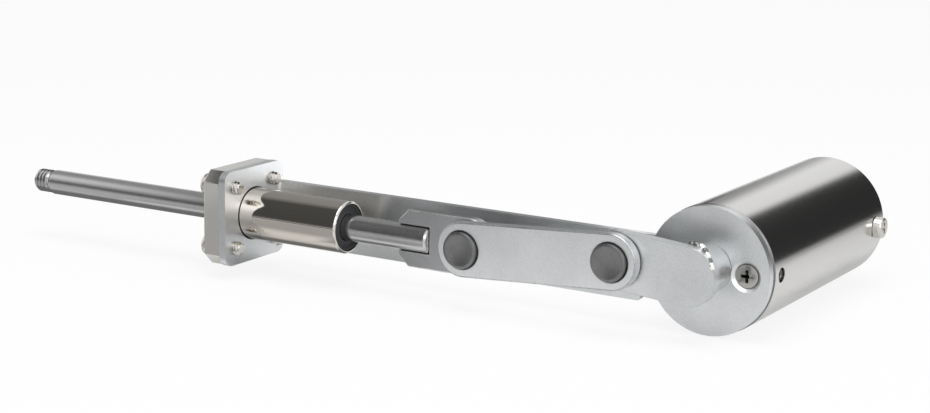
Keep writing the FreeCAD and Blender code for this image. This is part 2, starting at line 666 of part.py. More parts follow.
def motor_terminals():
    middle = (MOTOR_BUSH_D + CAN_BORE_D) / 4
    half_w = TERMINAL_W / 2
    tabs = [box(SHAFT_X - half_w, SHAFT_X + half_w, CAN_BACK_Y, CAN_BACK_Y + TERMINAL_LEN, z, z + TERMINAL_T)
            for z in (middle, -middle - TERMINAL_T)]
    return Part.makeCompound(tabs)


def motor_shaft():
    return cyl_y(gear_layer(2)[0], CAN_BACK_Y, MOTOR_SHAFT_D)


def slot_bars(width, inner_r, outer_r, y0, y1):
    """One straight bar along each slot of the core."""
    bars = []
    for index in range(CORE_SLOTS):
        bar = box(SHAFT_X - width / 2, SHAFT_X + width / 2, y0, y1, inner_r, outer_r)
        bar.rotate(FreeCAD.Vector(SHAFT_X, 0, 0), Y_AXIS, 360.0 * index / CORE_SLOTS)
        bars.append(bar)
    return bars


def rotor_core():
    core = ring_y(CORE_Y, CORE_BACK_Y, CORE_D, MOTOR_SHAFT_D + 2 * FIT)
    floor_r = CORE_D / 2 - CORE_SLOT_DEPTH
    return core.cut(slot_bars(CORE_SLOT_W, floor_r, CORE_D, CORE_Y, CORE_BACK_Y))


def rotor_windings():
    floor_r = CORE_D / 2 - CORE_SLOT_DEPTH + FIT
    outer_r = CORE_D / 2 - WINDING_STEP
    y0 = CORE_Y - WINDING_T
    y1 = CORE_BACK_Y + WINDING_T
    return Part.makeCompound(slot_bars(CORE_SLOT_W - 2 * FIT, floor_r, outer_r, y0, y1))


def commutator():
    return ring_y(COMMUTATOR_Y, COMMUTATOR_BACK_Y, COMMUTATOR_D, MOTOR_SHAFT_D + 2 * FIT)


# The tube around the motor
def motor_tube():
    tube = ring_y(DISC_BACK_Y, TUBE_BACK_Y, TUBE_D, TUBE_BORE_D)
    holes = side_holes(DISC_BACK_Y + TUBE_HOLE_BACK, TUBE_HOLE_D, TUBE_D / 2)
    holes += side_holes(TUBE_SCREW_Y, SCREW_D + 2 * SCREW_ROOM, TUBE_D / 2)
    return tube.cut(holes)


def rear_cap():
    cap = ring_y(CAP_FRONT_Y, CAP_BACK_Y, TUBE_BORE_D - 2 * FIT, CABLE_HOLE_D + 2 * FIT)
    return cap.cut(side_holes(TUBE_SCREW_Y, SCREW_D + 2 * FIT, TUBE_SCREW_LEN))


def cable_grommet():
    """A rubber ring through the cap, with a lip on its outer face."""
    neck = cyl_y(CAP_FRONT_Y, CAP_BACK_Y, CABLE_HOLE_D)
    lip = cyl_y(CAP_BACK_Y, CAP_BACK_Y + GROMMET_LIP, GROMMET_D)
    return neck.fuse(lip).cut(cyl_y(CAP_FRONT_Y, CAP_BACK_Y + GROMMET_LIP, GROMMET_BORE))


def all_pieces():
    return {
        "bracket": bracket(),
        "bearing_shell": bearing_shell(),
        "bearing_cage": bearing_cage(),
        "bearing_balls": bearing_balls(),
        "bearing_seal_outer": bearing_seal(seal_places()[0]),
        "bearing_seal_inner": bearing_seal(seal_places()[1]),
        "flange_screws": flange_screws(),
        "motor_screws": motor_screws(),
        "tube_screws": tube_screws(),
        "motor_tube": motor_tube(),
        "rear_cap": rear_cap(),
        "cable_grommet": cable_grommet(),
        "gearbox_front_plate": gearbox_front_plate(),
        "gearbox_housing": gearbox_housing(),
        "gearbox_rear_plate": gearbox_rear_plate(),
        "gear_axles": gear_axles(),
        "output_bush": output_bush(),
        "motor_case": motor_case(),
        "motor_magnets": motor_magnets(),
        "motor_bush_front": motor_bush(REAR_PLATE_Y, CAN_FRONT_Y),
        "motor_bush_rear": motor_bush(END_CAP_Y, CAN_BACK_Y),
        "motor_end_cap": motor_end_cap(),
        "motor_brushes": motor_brushes(),
        "motor_terminals": motor_terminals(),
        "push_rod": push_rod(),
        "rod_end_plate": rod_end_plate(),
        "rod_end_rivet": rod_end_rivet(),
        "connecting_rod": connecting_rod(),
        "rod_end_pin": pin_barrel(ROD_PIN_X, 0, LINK_BACK_Y),
        "crank_arm": crank_arm(),
        "crank_hub": crank_hub(),
        "crank_pin": crank_pin(),
        "output_shaft": output_shaft(),
        "output_gear": output_gear(),
        "gear_pair_a": gear_pair("pair_a", 1, 2),
        "gear_pair_b": gear_pair("pair_b", 2, 1),
        "motor_pinion": motor_pinion(),
        "motor_shaft": motor_shaft(),
        "rotor_core": rotor_core(),
        "rotor_windings": rotor_windings(),
        "commutator": commutator(),
    }


def report_motion():
    """Print the joint values that the sizes give."""
    folded = LINK_LEN - CRANK_R
    end_tilt = math.asin(SHAFT_RISE / folded)
    turn = math.pi - math.radians(CRANK_ANGLE) - end_tilt
    tilt = math.asin(CRANK_RISE / LINK_LEN) - end_tilt
    travel = SHAFT_X - folded * math.cos(end_tilt) - ROD_PIN_X
    print("crank turn", math.degrees(turn), "rod travel", travel, "slide ratio", travel / turn)
    print("link tilt", math.degrees(tilt), "link ratio", tilt / turn - 1)
    print("shaft", SHAFT, "crank pin", CRANK_PIN_X, CRANK_RISE, "rod pin x", ROD_PIN_X)
    print("axles", axle_place(1), axle_place(2), "module", MODULE, "disc front", DISC_FRONT_Y)


os.makedirs("parts", exist_ok=True)
for name, shape in all_pieces().items():
    shape.exportStep("parts/" + name + ".step")
report_motion()
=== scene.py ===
# %% [markdown]
# # An electric linear actuator, dressed in Blender
#
# A geared motor in a round tube turns a crank. A connecting rod drives a round push rod through a
# flanged ball bush, and one bent sheet carries the bush and the motor. The solids come from CAD and
# stay where they are. This lesson gives them softened edges, threads, screw recesses and finishes.

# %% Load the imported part
import json
import math

import bmesh
import bpy
from mathutils import Matrix, Vector


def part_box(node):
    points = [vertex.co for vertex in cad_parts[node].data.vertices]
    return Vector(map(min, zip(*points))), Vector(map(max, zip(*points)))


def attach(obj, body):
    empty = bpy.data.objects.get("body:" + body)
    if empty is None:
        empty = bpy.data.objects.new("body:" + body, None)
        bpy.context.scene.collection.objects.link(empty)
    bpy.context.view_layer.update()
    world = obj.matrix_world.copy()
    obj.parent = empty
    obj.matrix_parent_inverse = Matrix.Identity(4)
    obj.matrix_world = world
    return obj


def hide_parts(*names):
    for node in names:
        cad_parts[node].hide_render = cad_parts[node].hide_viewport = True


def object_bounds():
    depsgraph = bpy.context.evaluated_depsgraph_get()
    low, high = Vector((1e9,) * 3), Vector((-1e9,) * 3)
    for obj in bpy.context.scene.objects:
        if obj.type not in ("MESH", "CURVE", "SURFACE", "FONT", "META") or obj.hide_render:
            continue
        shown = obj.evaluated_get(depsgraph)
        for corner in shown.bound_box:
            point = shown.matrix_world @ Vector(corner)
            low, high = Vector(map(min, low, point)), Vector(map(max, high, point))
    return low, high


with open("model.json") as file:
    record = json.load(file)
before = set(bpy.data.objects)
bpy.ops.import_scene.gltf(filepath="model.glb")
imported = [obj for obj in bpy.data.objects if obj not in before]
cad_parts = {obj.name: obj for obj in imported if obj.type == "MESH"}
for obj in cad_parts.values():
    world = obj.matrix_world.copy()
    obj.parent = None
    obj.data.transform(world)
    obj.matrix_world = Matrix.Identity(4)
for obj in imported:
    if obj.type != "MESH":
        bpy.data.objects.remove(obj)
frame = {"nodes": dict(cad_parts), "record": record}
cad_low, cad_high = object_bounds()
MM = 0.001
print("CAD box in mm:", [round(side / MM, 1) for side in cad_high - cad_low])

# %% [markdown]
# ## The camera
#
# The photograph was taken from the right, a little above the part, with a lens of about 79 mm on a
# full frame. A camera's turn is easiest to read as three plain turns: about the upright axis, down
# from the horizon, and a small roll. The place and the turns were fitted to the part's straight edges.

# %% Camera
camera_data = bpy.data.cameras.new("camera")
camera_data.lens = 79.0
camera_data.sensor_width = 36.0
camera_data.clip_start = 0.01
camera = bpy.data.objects.new("camera", camera_data)
bpy.context.scene.collection.objects.link(camera)
bpy.context.scene.camera = camera
YAW, PITCH, ROLL = math.radians(31.5908), math.radians(12.3253), math.radians(0.7492)
turn = Matrix.Rotation(YAW, 4, "Z") @ Matrix.Rotation(math.pi / 2 - PITCH, 4, "X")
turn = turn @ Matrix.Rotation(ROLL, 4, "Z")
camera.matrix_world = Matrix.Translation(Vector((283.93, -368.51, 103.22)) * MM) @ turn
print("camera looks along", [round(c, 3) for c in turn @ Vector((0, 0, -1))])

# %% [markdown]
# ## Colours and nodes
#
# Hex colours are what a colour picker shows, and Blender's sockets want linear light, so one function
# turns one into the other. A second small function adds a node, sets its own settings, and feeds its
# sockets with numbers or links. Every material below is written with these two.

# %% Colour and node helpers
def linear(code):
    """An sRGB hex colour as linear RGBA."""
    parts = [int(code[i:i + 2], 16) / 255 for i in (0, 2, 4)]
    flat = [c / 12.92 if c <= 0.04045 else ((c + 0.055) / 1.055) ** 2.4 for c in parts]
    return (*flat, 1.0)


def add(tree, kind, inputs=None, **settings):
    """Add a node with its settings, and with numbers or links for its sockets."""
    node = tree.nodes.new(kind)
    for name, value in settings.items():
        setattr(node, name, value)
    for socket, value in (inputs or {}).items():
        if isinstance(value, bpy.types.NodeSocket):
            tree.links.new(value, node.inputs[socket])
        else:
            node.inputs[socket].default_value = value
    return node


def empty_material(name):
    """A material with no nodes yet, and its tree."""
    material = bpy.data.materials.new(name)
    material.use_nodes = True
    material.node_tree.nodes.clear()
    return material, material.node_tree


print("mid grey in linear light:", round(linear("808080")[0], 3))

# %% [markdown]
# ## Metal finishes
#
# Nearly all of this part is bare or plated steel. Such a surface differs in four ways: the tone of the
# metal, how far it blurs what it mirrors, the clouds and specks left by plating or rolling, and the
# direction of drawing or grinding marks. One function takes these as plain values, so that each finish
# below reads as a short list. Real grain and grinding marks are hundredths of a millimetre wide and
# would vanish in the picture, so they are drawn at a quarter to half a millimetre. Broken edges get
# their own tone from an attribute that the edge tool writes. On most metals this tone is speckled wear,
# because plating is thinner there and shows specks of the steel below. On the zinc sheet the edge tone
# is darker, and that is painted shade along the sheet's edges.

# %% A function for metal
CLOUD_SHARE = 0.45
# Noise stays near its middle, so these ranges are stretched to reach both tones and both roughnesses.
TONE_FROM, TONE_TO = 0.36, 0.64
BLUR_FROM, BLUR_TO = 0.3, 0.7


def metal(name, dark, light, rough, grain_mm, cloud_mm, marks=(1, 1, 1), bump_mm=0.0, edge="e8e8e6"):
    """A metal from its darker and lighter tone, its range of roughness and the size of its marks."""
    material, tree = empty_material(name)
    place = add(tree, "ShaderNodeTexCoord").outputs["Object"]
    drawn = add(tree, "ShaderNodeMapping", {"Vector": place, "Scale": marks}).outputs["Vector"]
    grain = add(tree, "ShaderNodeTexNoise", {
        "Vector": drawn, "Scale": 1 / (grain_mm * MM), "Detail": 4.0, "Roughness": 0.6}).outputs["Fac"]
    cloud = add(tree, "ShaderNodeTexNoise", {
        "Vector": place, "Scale": 1 / (cloud_mm * MM), "Detail": 3.0, "Roughness": 0.55}).outputs["Fac"]
    blend = add(tree, "ShaderNodeMix", {0: CLOUD_SHARE, 2: grain, 3: cloud}).outputs[0]
    tone = add(tree, "ShaderNodeMapRange", {
        "Value": blend, "From Min": TONE_FROM, "From Max": TONE_TO}).outputs["Result"]
    body = add(tree, "ShaderNodeMix", {0: tone, 6: linear(dark), 7: linear(light)},
               data_type="RGBA").outputs[2]
    # Edge tone: speckled wear on most metals, and on the zinc sheet a darker tone that is painted shade.
    broken = add(tree, "ShaderNodeAttribute", attribute_name="broken_edge").outputs["Fac"]
    edge_specks_and_shade = add(tree, "ShaderNodeMath", {0: broken, 1: tone}, operation="MULTIPLY").outputs[0]
    colour = add(tree, "ShaderNodeMix", {0: edge_specks_and_shade, 6: body, 7: linear(edge)},
                 data_type="RGBA").outputs[2]
    blur = add(tree, "ShaderNodeMapRange", {
        "Value": grain, "From Min": BLUR_FROM, "From Max": BLUR_TO,
        "To Min": rough[0], "To Max": rough[1]}).outputs["Result"]
    shader = add(tree, "ShaderNodeBsdfPrincipled", {
        "Base Color": colour, "Metallic": 1.0, "Roughness": blur})
    if bump_mm:
        height = add(tree, "ShaderNodeBump", {
            "Height": grain, "Strength": 0.6, "Distance": bump_mm * MM}).outputs["Normal"]
        tree.links.new(height, shader.inputs["Normal"])
    add(tree, "ShaderNodeOutputMaterial", {"Surface": shader.outputs["BSDF"]})
    return material


finish = {
    # Bright zinc on cold-rolled sheet: pale, cool and slightly cloudy, with a fine grain. Its darker edge
    # tone is painted shade along the broken edges.
    "zinc_plated_steel": metal("zinc_plated_sheet", "cdcfd0", "dee0e1", (0.365, 0.37), 0.35, 9.0,
                               edge="9a9c9d"),
    # Ground steel pins, dark from burnishing: dim grey with a soft sheen.
    "pin_steel": metal("burnished_pin_steel", "747474", "808080", (0.34, 0.42), 0.35, 2.5, bump_mm=0.002),
    # Ground rod: fine rings across its length stretch each highlight into a band.
    "rod_steel": metal("ground_rod_steel", "c4c4c4", "cccccc", (0.20, 0.24), 0.25, 8.0, (1, 0.15, 0.15)),
    # Polished nickel with a warm tone: an almost clear mirror.
    "bush_nickel": metal("polished_nickel", "cfc9c1", "d4cec6", (0.05, 0.07), 0.5, 9.0, (0.08, 1, 1)),
    # Bright nickel on pressed screws: small, crisp highlights.
    "screw_nickel": metal("bright_nickel", "c9c6c0", "d6d3cd", (0.12, 0.18), 0.3, 1.5),
    # Drawn tube, nickel plated: smooth bands of light along its axis.
    "tube_nickel": metal("drawn_nickel_tube", "cecdcb", "cfcecc", (0.165, 0.168), 0.4, 14.0, (1, 0.04, 1)),
}
print("metals:", ", ".join(sorted(finish)))

# %% [markdown]
# ## Metals out of sight
#
# Gears, shafts, windings and the motor's iron are out of sight in the closed tube, and the balls in
# their bush. They still get the finish of their own metal, so that the part looks right when it is
# opened. The same function makes them, because only tones, roughness and marks differ.

# %% Metals inside the motor and the bush
finish.update({
    # Polished balls: bright, clear mirrors.
    "ball_steel": metal("polished_ball_steel", "cfd0d2", "e2e3e5", (0.06, 0.10), 0.5, 3.0),
    # Turned plates and housing: mid grey with fine tool marks.
    "gearbox_steel": metal("turned_gearbox_steel", "9c9c9c", "b4b4b4", (0.30, 0.42), 0.3, 6.0,
                           bump_mm=0.004),
    # Cut brass: warm yellow, a little blurred by the cutter.
    "gear_brass": metal("cut_brass", "b08d4a", "cfae6a", (0.22, 0.34), 0.3, 4.0, edge="e3c988"),
    # Ground shafts: a soft sheen with fine lines along their length.
    "shaft_steel": metal("ground_shaft_steel", "9d9d9f", "b9b9bb", (0.18, 0.28), 0.25, 6.0, (1, 0.15, 1)),
    # Sintered bronze: brown and grainy from its pores.
    "bush_bronze": metal("sintered_bronze", "8c6a3c", "a9854f", (0.42, 0.58), 0.25, 2.0, bump_mm=0.01,
                         edge="c4a06a"),
    # Plated motor can: a plain, bright grey.
    "can_steel": metal("plated_motor_can", "a6a7a8", "c0c1c2", (0.26, 0.36), 0.4, 9.0),
    # Tinned brass: pale yellow under a thin coat.
    "terminal_brass": metal("tinned_brass", "b8a46c", "d2c498", (0.24, 0.36), 0.3, 3.0, edge="e6dcb8"),
    # Laminated iron: dark grey, with its thin layers as lines round the core.
    "core_steel": metal("laminated_core_steel", "66676a", "828387", (0.38, 0.52), 0.5, 4.0, (0.2, 1, 0.2)),
    # Enamelled copper: warm red-brown with the gloss of varnish.
    "copper": metal("enamelled_copper", "9c5228", "c4743c", (0.22, 0.34), 0.4, 3.0, (0.3, 1, 0.3),
                    edge="dc9860"),
})
print("metals in all:", len(finish))

# %% [markdown]
# ## Rubber, plastic, ferrite and carbon
#
# These aren't metals, so their colour is in the body of the material and only a weak, pale sheen lies
# on top. Moulded plastic takes the fine grain of its mould, and rubber is duller and a little dusty. A
# second function serves them all, with one noise for tone, roughness and a slight bump. The grain is
# drawn coarser than a real mould's, so that it shows.

# %% A function for moulded and pressed materials
GRAIN_FROM, GRAIN_TO = 0.35, 0.65


def moulded(name, dark, light, rough, grain_mm, bump_mm):
    """A plastic, rubber or ceramic from two tones, its roughness and its grain."""
    material, tree = empty_material(name)
    place = add(tree, "ShaderNodeTexCoord").outputs["Object"]
    grain = add(tree, "ShaderNodeTexNoise", {
        "Vector": place, "Scale": 1 / (grain_mm * MM), "Detail": 5.0, "Roughness": 0.6}).outputs["Fac"]
    tone = add(tree, "ShaderNodeMapRange", {
        "Value": grain, "From Min": GRAIN_FROM, "From Max": GRAIN_TO}).outputs["Result"]
    colour = add(tree, "ShaderNodeMix", {0: tone, 6: linear(dark), 7: linear(light)},
                 data_type="RGBA").outputs[2]
    blur = add(tree, "ShaderNodeMapRange", {
        "Value": tone, "To Min": rough[0], "To Max": rough[1]}).outputs["Result"]
    height = add(tree, "ShaderNodeBump", {
        "Height": grain, "Strength": 0.5, "Distance": bump_mm * MM}).outputs["Normal"]
    shader = add(tree, "ShaderNodeBsdfPrincipled", {
        "Base Color": colour, "Roughness": blur, "IOR": 1.5, "Normal": height})
    add(tree, "ShaderNodeOutputMaterial", {"Surface": shader.outputs["BSDF"]})
    return material


finish.update({
    # Nitrile seals: dark grey and dull.
    "seal_rubber": moulded("nitrile_rubber", "2c2d2f", "3a3b3d", (0.55, 0.75), 0.4, 0.01),
    # Soft rubber: nearly black, and the dullest of all.
    "grommet_rubber": moulded("soft_rubber", "1d1d1e", "29292a", (0.60, 0.78), 0.4, 0.01),
    # Moulded nylon: black, with a faint sheen.
    "cap_plastic": moulded("moulded_nylon", "1f1f20", "2b2b2c", (0.42, 0.56), 0.3, 0.012),
    # Acetal: dark and slightly waxy.
    "cage_resin": moulded("acetal_resin", "26262a", "323236", (0.40, 0.52), 0.4, 0.006),
    # White nylon: creamy, with a soft sheen.
    "end_cap_plastic": moulded("white_nylon", "d8d6ce", "e6e4dc", (0.42, 0.55), 0.4, 0.008),
    # Pressed ferrite: grey-black and matt, like fired clay.
    "magnet_ferrite": moulded("pressed_ferrite", "242427", "38383c", (0.50, 0.68), 0.3, 0.015),
    # Carbon brushes: black, with a weak gleam.
    "carbon": moulded("brush_carbon", "161617", "262628", (0.45, 0.62), 0.25, 0.012),
})
print("finishes:", len(finish))

# %% [markdown]
# ## Give every CAD node its finish
#
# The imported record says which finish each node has. Nodes that get a better piece later are hidden
# then, and the others keep this material.

# %% Materials on the CAD nodes
slot_of = {row["node"]: row["material_slot"] for row in frame["record"]["subparts"]}
for name, node in frame["nodes"].items():
    node.data.materials.clear()
    node.data.materials.append(finish[slot_of[name]])
print("nodes with a finish:", len(frame["nodes"]))

# %% [markdown]
# ## From a bmesh to a piece
#
# Every new piece ends in the same way: its faces are shaded smooth, its sharp corners stay sharp, it
# gets its finish, rides on a body of the mechanism and stands for the CAD nodes that it replaces. One
# function does all this, so that no piece misses a step. A weighted normal keeps large flats flat.

# %% Make a piece from a bmesh
SHARP_DEG = 40.0


def piece_from(bm, name, body, slots, nodes=(), sharp_deg=SHARP_DEG, weighted=True):
    """Turn a bmesh into a piece that rides on a body and stands for CAD nodes."""
    bm.normal_update()
    for face in bm.faces:
        face.smooth = True
    for edge in bm.edges:
        edge.smooth = edge.calc_face_angle(0.0) < math.radians(sharp_deg)
    mesh = bpy.data.meshes.new(name)
    bm.to_mesh(mesh)
    bm.free()
    piece = bpy.data.objects.new(name, mesh)
    bpy.context.scene.collection.objects.link(piece)
    for slot in slots:
        mesh.materials.append(finish[slot])
    if weighted:
        normals = piece.modifiers.new("flat_faces", "WEIGHTED_NORMAL")
        normals.keep_sharp = True
    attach(piece, body)
    if nodes:
        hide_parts(*nodes)
    return piece


print("corners over", SHARP_DEG, "degrees stay sharp")

# %% [markdown]
# ## Soften the edges of the sheet parts
#
# Real sheet and turned parts never have a perfectly sharp edge, and the thin line along an edge is much
# of what makes metal look real. A copy of the CAD mesh is merged, its flat triangles are joined to whole
# faces, and its outer corners are bevelled. A bevel modifier could do the same, but the operator returns
# the new faces, and they are marked in an attribute. The metal reads that attribute for its edge tone,
# which is specks of wear on most metals and painted shade on the zinc sheet.

# %% Soften CAD pieces
SAME_PLACE, SAME_PLANE_DEG = 0.0005, 0.8
SHEET_EDGE = 0.35


def merged_copy(node):
    """A CAD node's mesh as a bmesh with whole flat faces."""
    bm = bmesh.new()
    bm.from_mesh(frame["nodes"][node].data)
    bmesh.ops.remove_doubles(bm, verts=bm.verts, dist=SAME_PLACE * MM)
    bmesh.ops.dissolve_limit(bm, angle_limit=math.radians(SAME_PLANE_DEG), verts=bm.verts, edges=bm.edges)
    return bm


def break_edges(bm, width_mm, segments=3, least_deg=35.0, wanted=lambda edge: True):
    """Bevel the outer corners of a bmesh, or the wanted ones, and mark the new faces."""
    mark = bm.faces.layers.float.get("broken_edge") or bm.faces.layers.float.new("broken_edge")
    corners = [edge for edge in bm.edges if len(edge.link_faces) == 2 and edge.is_convex
               and edge.calc_face_angle() > math.radians(least_deg) and wanted(edge)]
    made = bmesh.ops.bevel(bm, geom=corners, offset=width_mm * MM, offset_type="OFFSET",
                           segments=segments, profile=0.5, affect="EDGES", material=-1,
                           clamp_overlap=True)
    for face in made["faces"]:
        face[mark] = 1.0
    return len(corners)


def softened(node, width_mm, body, bm=None, least_deg=35.0):
    """A piece like a CAD node, or like a bmesh made from it, with broken edges."""
    bm = bm or merged_copy(node)
    corners = break_edges(bm, width_mm, least_deg=least_deg)
    print(node, "corners broken:", corners)
    return piece_from(bm, node + "_soft", body, [slot_of[node]], [node])


softened("bracket", SHEET_EDGE, "base")
softened("connecting_rod", SHEET_EDGE, "connecting_rod")
softened("crank_arm", SHEET_EDGE, "crank")

# %% [markdown]
# ## The rod's end plate
#
# The slotted plate is zinc plated like the other sheet parts, and it is painted a darker grey as
# shade, for the darker floor that it mirrors. It could share their finish, but would then be as pale as
# the connecting rod in front of it, so it gets one of its own after its edges are softened.

# %% Zinc with painted shade
PLATE_EDGE = 0.3
rod_plate = softened("rod_end_plate", PLATE_EDGE, "push_rod")
# Zinc with painted shade: the same soft blur as the bright sheet, two steps darker.
rod_plate.data.materials[0] = metal("zinc_sheet_painted_shade", "a4a5a6", "b1b2b3", (0.36, 0.37), 0.35, 9.0)
print("end plate faces:", len(rod_plate.data.polygons))

# %% [markdown]
# ## Tube and hub
#
# The tube's front edge has a chamfer, which leaves a groove behind the round plate. A bevel of one segment
# on that rim makes it, and the new faces take the darker pin steel as painted shade, so that the groove
# looks dark.
# The hub runs close to that plate, so the back end of its copy is moved to a tenth of a millimetre
# from it.

# %% Chamfered tube and close hub
TUBE_R, TUBE_CHAMFER, TUBE_EDGE = 14.0, 0.8, 0.3
SHEET, HUB_GAP, HUB_EDGE = 1.8, 0.1, 0.15
# Places less than this many millimetres apart count as one.
NEAR = 0.01
tube_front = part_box("motor_tube")[0].y
tube_x = (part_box("motor_tube")[0].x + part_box("motor_tube")[1].x) / 2


def on_front_rim(edge):
    """Whether an edge lies on the tube's outer front rim."""
    return all(vert.co.y < tube_front + NEAR * MM
               and math.hypot(vert.co.x - tube_x, vert.co.z) > (TUBE_R - 0.1) * MM for vert in edge.verts)


tube = merged_copy("motor_tube")
break_edges(tube, TUBE_CHAMFER, 1, wanted=on_front_rim)
painted_shade_chamfer = tube.faces.layers.float["broken_edge"]
for face in tube.faces:
    face.material_index = int(face[painted_shade_chamfer])
    face[painted_shade_chamfer] = 0.0
tube_piece = softened("motor_tube", TUBE_EDGE, "base", tube, least_deg=50.0)
# Painted shade: the chamfer's faces take the darker pin steel, which darkens the groove.
tube_piece.data.materials.append(finish["pin_steel"])

hub = merged_copy("crank_hub")
hub_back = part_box("crank_hub")[1].y
for vert in hub.verts:
    if vert.co.y > hub_back - NEAR * MM:
        vert.co.y = tube_front - (SHEET + HUB_GAP) * MM
softened("crank_hub", HUB_EDGE, "crank", hub)

# %% [markdown]
# ## The ball bush
#
# The bush is one piece with two finishes: its square flange is satin nickel from machining, and its
# sleeve is polished. It could be cut in two, but one mesh with two materials keeps it whole: faces near
# the rod's axis take the polished finish, and all others the satin one.

# %% Bush with a satin flange and a polished sleeve
BUSH_EDGE, POLISHED_R = 0.15, 6.2
# Satin nickel: warm and bright like the sleeve, but its mirror image is blurred.
finish["satin_nickel"] = metal("satin_nickel", "d2d0cc", "d4d2ce", (0.13, 0.135), 0.3, 6.0)
bush = merged_copy("bearing_shell")
break_edges(bush, BUSH_EDGE, 2)
for face in bush.faces:
    centre = face.calc_center_median()
    radius = math.hypot(centre.y, centre.z)
    face.material_index = 0 if radius < POLISHED_R * MM else 1
bush_piece = piece_from(bush, "bearing_shell_soft", "base", ["bush_nickel"], ["bearing_shell"])
bush_piece.data.materials.append(finish["satin_nickel"])
print("bush faces:", len(bush_piece.data.polygons))

# %% [markdown]
# ## Round pieces from a profile
#
# Pins, the rivet, seals, the grommet, screw heads and the rod are turned shapes. A profile of a few
# points, given as places along the axis and radii, is spun a full turn about its axis, as on a lathe.
# Blender's spin copies edges step by step, and merging the last step with the first closes the ring.

# %% A turned shape
STEPS = 96


def turned(profile, axis, centre=(0.0, 0.0, 0.0), steps=STEPS):
    """Spin a closed or axis-to-axis profile of (along, radius) points, in mm, about X or Y."""
    bm = bmesh.new()
    middle = Vector(centre) * MM
    along = Vector((1, 0, 0)) if axis == "X" else Vector((0, 1, 0))
    verts = [bm.verts.new(middle + along * (a * MM) + Vector((0, 0, r * MM))) for a, r in profile]
    edges = [bm.edges.new(pair) for pair in zip(verts, verts[1:])]
    if profile[0][1] > 0 and profile[-1][1] > 0:
        edges.append(bm.edges.new((verts[-1], verts[0])))
    bmesh.ops.spin(bm, geom=verts + edges, cent=middle, axis=along, angle=2 * math.pi, steps=steps,
                   use_merge=True)
    bmesh.ops.remove_doubles(bm, verts=bm.verts, dist=0.001 * MM)
    bmesh.ops.recalc_face_normals(bm, faces=bm.faces)
    return bm


print("steps in a full turn:", STEPS)

# %% [markdown]
# ## Pins
#
# Each pin stands about a millimetre proud of the connecting rod. Its face is flat and dark, with a
# narrow turned rim that catches the light. Its tail is riveted behind the sheet that it holds. The CAD
# pins have plain steps, and a bevel can't dish a face or dome a rivet, so they are spun from profiles.

# %% Profiles of a pin and a riveted tail
pin_low, pin_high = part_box("rod_end_pin")
PIN_R = (pin_high.x - pin_low.x) / 2 / MM
PIN_FACE_Y = pin_low.y / MM
PIN_RIM, PIN_DISH = 0.35, 0.05
TAIL_R, RIVET_R = 2.75, 3.5


def pin_profile(back):
    """From the middle of the proud face, over its shallow dish and round rim, to the back."""
    face = PIN_FACE_Y
    return [(face + PIN_DISH, 0), (face + PIN_DISH, PIN_R - 0.95), (face, PIN_R - 0.85),
            (face, PIN_R - PIN_RIM), (face + 0.1, PIN_R - 0.12), (face + PIN_RIM, PIN_R),
            (back, PIN_R), (back, 0)]


def rivet_profile(seat, back):
    """From the seat of a riveted head, over its dome, to the middle of its back."""
    return [(seat, RIVET_R - 0.1), (seat + 0.15, RIVET_R), (seat + 0.45, RIVET_R - 0.35),
            (back, RIVET_R - 1.3), (back, 0)]


print("pin radius in mm:", round(PIN_R, 2))

# %% Pins on the connecting rod
rod_pin_x = (pin_low.x + pin_high.x) / 2 / MM
rod_pin = turned(pin_profile(pin_high.y / MM), "Y", (rod_pin_x, 0, 0))
piece_from(rod_pin, "rod_end_pin_turned", "connecting_rod", ["pin_steel"], ["rod_end_pin"])
crank_low, crank_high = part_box("crank_pin")
crank_centre = ((crank_low.x + crank_high.x) / 2 / MM, 0, (crank_low.z + crank_high.z) / 2 / MM)
arm_front, arm_back = (side.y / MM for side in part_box("crank_arm"))
crank_profile = pin_profile(arm_front)[:-1] + [(arm_front, TAIL_R), (arm_back, TAIL_R)]
crank_pin = turned(crank_profile + rivet_profile(arm_back, crank_high.y / MM), "Y", crank_centre)
piece_from(crank_pin, "crank_pin_turned", "crank", ["pin_steel"], ["crank_pin"])
rivet_low, rivet_high = (side.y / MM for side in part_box("rod_end_rivet"))
rivet_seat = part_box("rod_end_plate")[1].y / MM
tail_profile = [(rivet_low, 0), (rivet_low, TAIL_R), (rivet_seat, TAIL_R)]
rivet = turned(tail_profile + rivet_profile(rivet_seat, rivet_high), "Y", (rod_pin_x, 0, 0))
piece_from(rivet, "rod_end_rivet_turned", "push_rod", ["pin_steel"], ["rod_end_rivet"])
print("pins apart in mm:", round(crank_centre[0] - rod_pin_x, 2))

# %% [markdown]
# ## Seals
#
# A seal at each end of the bush is a dished rubber ring with a thin lip at the rod. Both are spun from
# one profile, which a sign turns round for the far end, so that they can't differ.

# %% Seals
SEAL_R, SEAL_LIP_R = 5.36, 3.1
for node, sign in (("bearing_seal_inner", 1), ("bearing_seal_outer", -1)):
    low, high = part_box(node)
    outer, inner = (high.x, low.x) if sign > 0 else (low.x, high.x)
    outer, inner = outer / MM, inner / MM
    profile = [(inner, SEAL_R), (outer - 0.1 * sign, SEAL_R), (outer, SEAL_R - 0.12),
               (outer, SEAL_R - 0.5), (outer - 0.35 * sign, SEAL_R - 0.75),
               (outer - 0.45 * sign, SEAL_LIP_R + 0.5), (outer - 0.2 * sign, SEAL_LIP_R + 0.1),
               (outer - 0.3 * sign, SEAL_LIP_R), (inner, SEAL_LIP_R)]
    piece_from(turned(profile, "X"), node + "_lipped", "base", ["seal_rubber"], [node])
print("seal lip radius in mm:", SEAL_LIP_R)

# %% [markdown]
# ## Rear cap and grommet
#
# The rear cap is a moulded plug with a shallow step, so it only needs softer edges. The grommet in its
# middle is a soft ring whose lip is round all over, which is easier to spin than to bevel.

